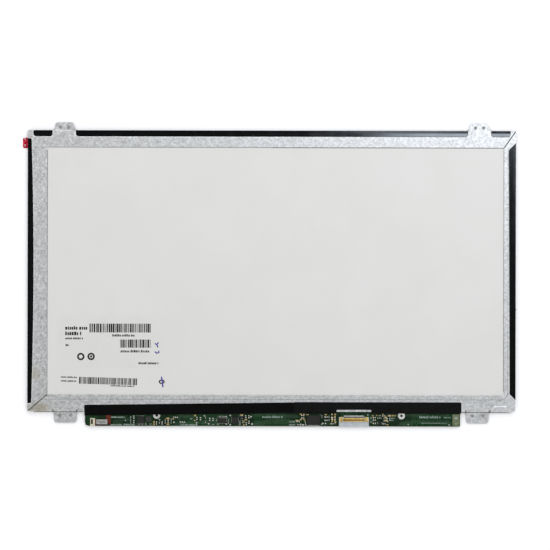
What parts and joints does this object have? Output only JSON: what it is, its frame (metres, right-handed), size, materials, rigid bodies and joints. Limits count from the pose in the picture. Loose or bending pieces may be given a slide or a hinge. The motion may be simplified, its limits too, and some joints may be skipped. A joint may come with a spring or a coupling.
{
  "type": "laptop screen panel",
  "caption": "Flat laptop display module with a two-piece steel rear frame, screw brackets, a layered backlight and glass, and a narrow driver board with an edge connector.",
  "frame": {"origin": "on the front face, under the centre of the body", "axes": "+X along the long side, +Y towards the top edge, +Z from the front face to the rear"},
  "size_m": [0.3642, 0.2241, 0.0035],
  "materials": {
    "galvanised_steel": "spangled zinc, satin",
    "black_mould": "glossy moulded plastic",
    "black_tape": "satin tape",
    "white_reflector": "soft white film",
    "clear_film": "clear film",
    "red_tab": "glossy tape",
    "polarizer": "anti-glare film",
    "panel_glass": "polished sheet glass",
    "rim_adhesive": "foam tape",
    "optical_sheet": "satin optical film",
    "light_guide": "clear acrylic",
    "led_package": "white package, yellow face",
    "amber_flex": "polyimide film",
    "chip_black": "moulded epoxy",
    "board_green": "solder mask",
    "tinned_copper": "tinned",
    "gold_plate": "gold plated",
    "connector_plastic": "pale moulded plastic",
    "socket_plastic": "cream moulded plastic",
    "capacitor_ceramic": "tinned ends",
    "resistor_ceramic": "tinned ends",
    "ferrite": "matt ferrite",
    "white_sticker": "matt label",
    "black_print": "printed ink",
    "blue_ink": "pen ink",
    "white_print": "printed legend"
  },
  "bodies": {
    "root": {"upper_left_frame": "galvanised_steel", "lower_right_frame": "galvanised_steel", "mould_frame": "black_mould", "reflector_sheet": "white_reflector", "protective_film": "clear_film", "film_pull_tab": "red_tab", "front_polarizer": "polarizer", "rear_polarizer": "polarizer", "color_filter_glass": "panel_glass", "array_glass": "panel_glass", "glass_rim_tape": "rim_adhesive", "upper_prism_sheet": "optical_sheet", "lower_prism_sheet": "optical_sheet", "diffuser_sheet": "optical_sheet", "light_guide": "light_guide", "backlight_leds": "led_package", "backlight_flex": "amber_flex", "circuit_board": "board_green", "ground_rings": "tinned_copper", "front_cover_tape": "black_tape", "rear_tape_left": "black_tape", "rear_tape_right": "black_tape", "connector_housing": "connector_plastic", "connector_shell": "gold_plate", "connector_contacts": "tinned_copper", "timing_controller": "chip_black", "backlight_driver_chip": "chip_black", "bias_voltage_chip": "chip_black", "level_shifter_chip": "chip_black", "regulator_chip": "chip_black", "memory_chip": "chip_black", "power_inductor": "ferrite", "chip_capacitors": "capacitor_ceramic", "chip_resistors": "resistor_ceramic", "backlight_socket": "socket_plastic", "board_sticker": "white_sticker", "rear_label": "white_sticker", "driver_chip_1": "chip_black", "driver_film_1": "amber_flex", "driver_chip_2": "chip_black", "driver_film_2": "amber_flex", "driver_chip_3": "chip_black", "driver_film_3": "amber_flex", "driver_chip_4": "chip_black", "driver_film_4": "amber_flex"}
  },
  "joints": []
}
